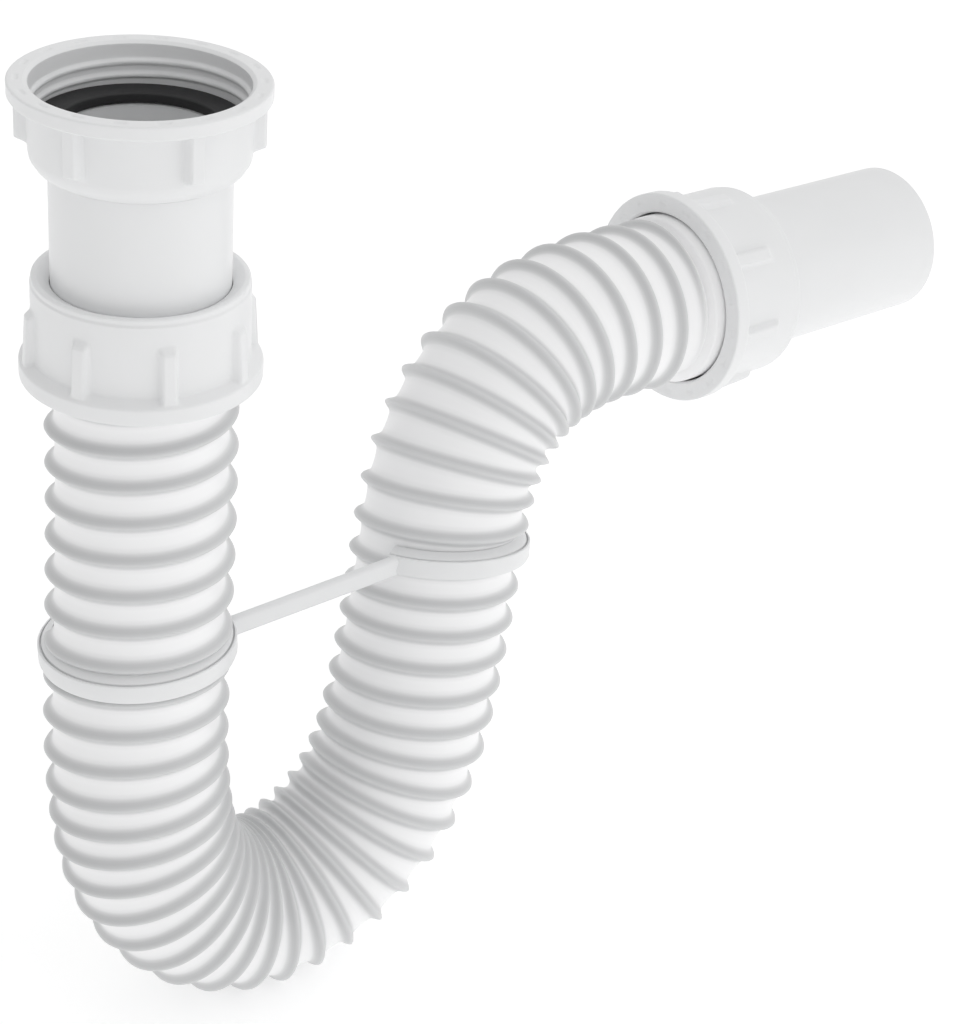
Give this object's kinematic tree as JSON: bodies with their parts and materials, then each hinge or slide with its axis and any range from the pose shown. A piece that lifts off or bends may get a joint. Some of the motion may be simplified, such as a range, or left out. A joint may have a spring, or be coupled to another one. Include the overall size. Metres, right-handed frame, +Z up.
{
  "type": "flexible sink trap",
  "caption": "Flexible sink trap: union nut on a short tube, corrugated hose bent into a strapped U, compression nut and plain outlet spigot.",
  "frame": {"origin": "middle of the inlet nut's rim, on the axis of the inlet", "axes": "+Z up along the inlet axis, +X the way the outlet leaves, -Y the side the picture sees best"},
  "size_m": [0.2686, 0.0645, 0.2433],
  "materials": {
    "nut_white": "satin white polypropylene",
    "tube_white": "smooth white polypropylene",
    "hose_white": "satin white polypropylene",
    "strap_white": "satin white polypropylene",
    "washer_black": "black rubber",
    "seal_grey": "dark grey rubber"
  },
  "bodies": {
    "trap": {"flexible_hose": "hose_white", "u_bend_strap": "strap_white", "inlet_tube": "tube_white", "inlet_washer": "washer_black", "inlet_seal": "seal_grey", "outlet_seal": "seal_grey", "outlet_spigot": "tube_white"},
    "union_nut": {"inlet_nut": "nut_white"},
    "upper_nut": {"inlet_compression_nut": "nut_white"},
    "outer_nut": {"outlet_compression_nut": "nut_white"}
  },
  "joints": [
    {"name": "union_nut_spin", "type": "hinge", "parent": "trap", "child": "union_nut", "pos_m": [0, 0, 0], "axis": [0, 0, 1], "continuous": true},
    {"name": "upper_nut_turn", "type": "hinge", "parent": "trap", "child": "upper_nut", "pos_m": [0, 0, -0.069], "axis": [0, 0, 1], "range_deg": [0, 360]},
    {"name": "outer_nut_turn", "type": "hinge", "parent": "trap", "child": "outer_nut", "pos_m": [0.15821, -0.00228, -0.087], "axis": [1, 0, 0], "range_deg": [0, 360]}
  ]
}
